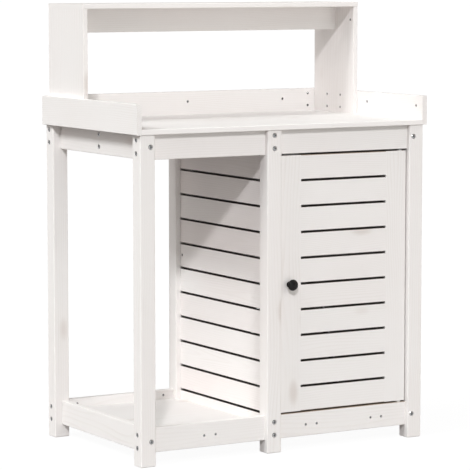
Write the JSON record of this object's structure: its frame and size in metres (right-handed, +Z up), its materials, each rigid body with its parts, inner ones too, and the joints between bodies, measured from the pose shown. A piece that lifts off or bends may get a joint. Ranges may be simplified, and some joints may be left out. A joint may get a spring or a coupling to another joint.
{
  "type": "potting bench",
  "caption": "Freestanding potting bench: open bay with a floor, slatted cabinet with a swinging door, tray-edged tabletop and a raised back shelf.",
  "frame": {"origin": "on the floor, under the middle of the whole bench's box, knob included", "axes": "+Z up; +X to the right as seen from the front; the door and the open front face -Y"},
  "size_m": [0.825, 0.509, 1.095],
  "materials": {
    "painted_pine": "white painted pine, satin",
    "dowel_wood": "bare beech",
    "zinc_steel": "zinc plated",
    "white_nylon": "moulded, matt",
    "magnet": "pressed ferrite",
    "black_knob": "glossy black"
  },
  "bodies": {
    "bench": {"front_left_leg": "painted_pine", "front_middle_leg": "painted_pine", "front_right_leg": "painted_pine", "rear_left_leg": "painted_pine", "rear_middle_leg": "painted_pine", "rear_right_leg": "painted_pine", "front_left_apron": "painted_pine", "front_left_bottom_rail": "painted_pine", "front_right_apron": "painted_pine", "front_right_bottom_rail": "painted_pine", "rear_left_apron": "painted_pine", "rear_left_bottom_rail": "painted_pine", "left_side_apron": "painted_pine", "left_side_bottom_rail": "painted_pine", "left_tabletop_bearer": "painted_pine", "right_tabletop_bearer": "painted_pine", "partition_slats": "painted_pine", "right_wall_slats": "painted_pine", "rear_wall_slats": "painted_pine", "partition_battens": "painted_pine", "right_wall_battens": "painted_pine", "rear_wall_battens": "painted_pine", "left_bay_floor": "painted_pine", "cabinet_floor": "painted_pine", "inner_shelf_left_batten": "painted_pine", "inner_shelf_right_batten": "painted_pine", "cabinet_inner_shelf": "painted_pine", "tabletop": "painted_pine", "tray_left_board": "painted_pine", "tray_right_board": "painted_pine", "tray_back_board": "painted_pine", "shelf_left_side": "painted_pine", "shelf_right_side": "painted_pine", "shelf_top": "painted_pine", "shelf_rail": "painted_pine", "wooden_dowels": "dowel_wood", "frame_screws": "zinc_steel", "board_screws": "zinc_steel", "batten_screws": "zinc_steel", "door_pivot_pins": "zinc_steel", "door_pivot_washer": "white_nylon", "catch_housing": "white_nylon", "catch_magnet": "magnet"},
    "door": {"door_hinge_stile": "painted_pine", "door_knob_stile": "painted_pine", "door_slat_01": "painted_pine", "door_slat_02": "painted_pine", "door_slat_03": "painted_pine", "door_slat_04": "painted_pine", "door_slat_05": "painted_pine", "door_slat_06": "painted_pine", "door_slat_07": "painted_pine", "door_slat_08": "painted_pine", "door_slat_09": "painted_pine", "door_slat_10": "painted_pine", "door_knob": "black_knob", "door_knob_screw": "zinc_steel", "door_pivot_bushes": "white_nylon", "catch_plate": "zinc_steel", "catch_plate_screw": "zinc_steel"}
  },
  "joints": [
    {"name": "door_hinge", "type": "hinge", "parent": "bench", "child": "door", "pos_m": [0.345, -0.2225, 0.412], "axis": [0, 0, 1], "range_deg": [0, 110]}
  ]
}
